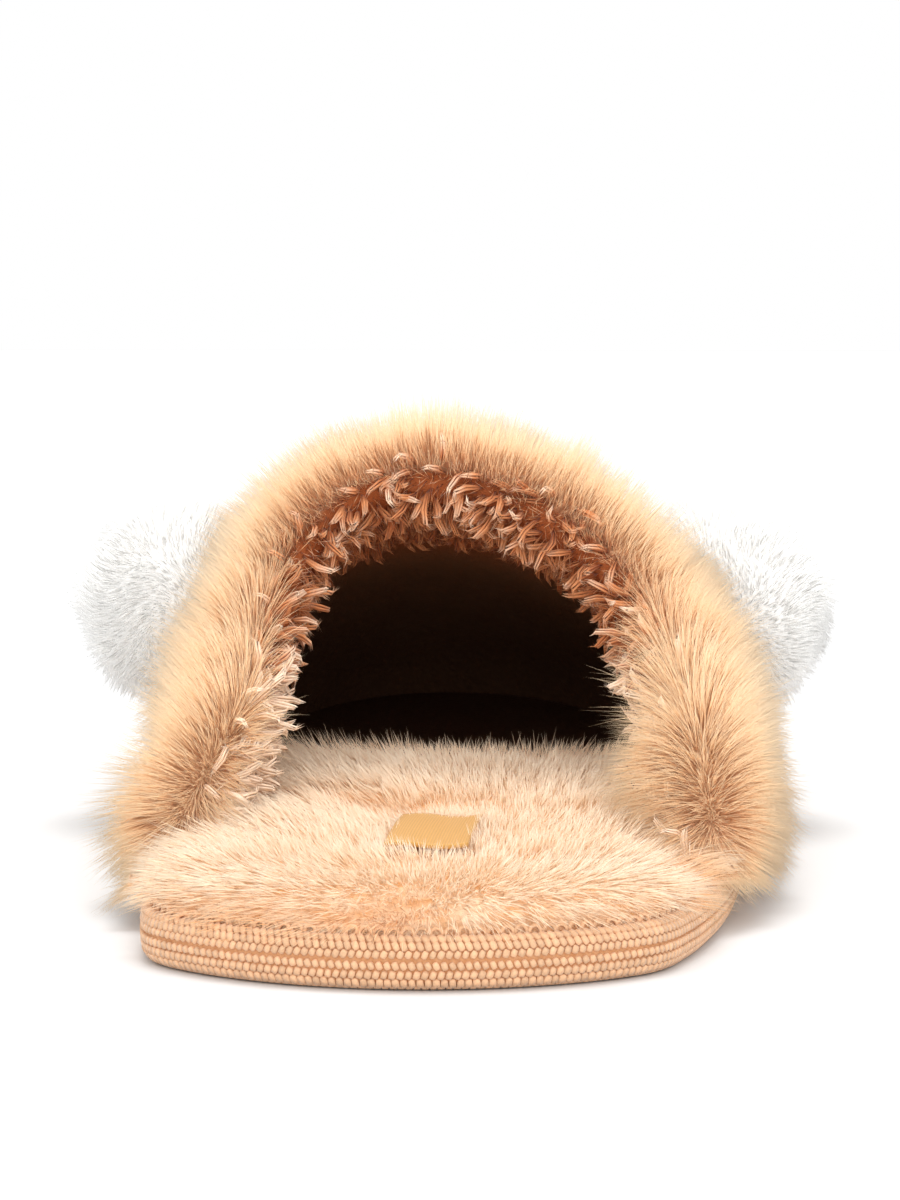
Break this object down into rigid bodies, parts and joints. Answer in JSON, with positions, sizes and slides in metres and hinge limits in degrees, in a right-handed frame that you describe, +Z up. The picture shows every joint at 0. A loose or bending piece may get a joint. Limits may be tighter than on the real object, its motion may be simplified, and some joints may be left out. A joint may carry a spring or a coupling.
{
  "type": "scuff slipper",
  "caption": "Open-heel plush slipper for the right foot with a hollow deep-pile upper, padded insole, knit-bound sole and side pompoms.",
  "frame": {"origin": "on the floor, under the middle of the whole slipper's box", "axes": "+Y from heel to toe, +X to the outer side of the right foot, +Z up"},
  "size_m": [0.1402, 0.2708, 0.078],
  "materials": {
    "outsole": "brushed suede-like sole cloth",
    "knit": "ribbed knit tape",
    "insole_plush": "short plush pile over foam",
    "upper_fur": "deep faux fur pile",
    "label": "plain woven tape",
    "pompom_fur": "white faux fur"
  },
  "bodies": {
    "root": {"outsole": "outsole", "binding": "knit", "insole": "insole_plush", "upper": "upper_fur", "label": "label", "pompom_medial": "pompom_fur", "pompom_lateral": "pompom_fur"}
  },
  "joints": []
}
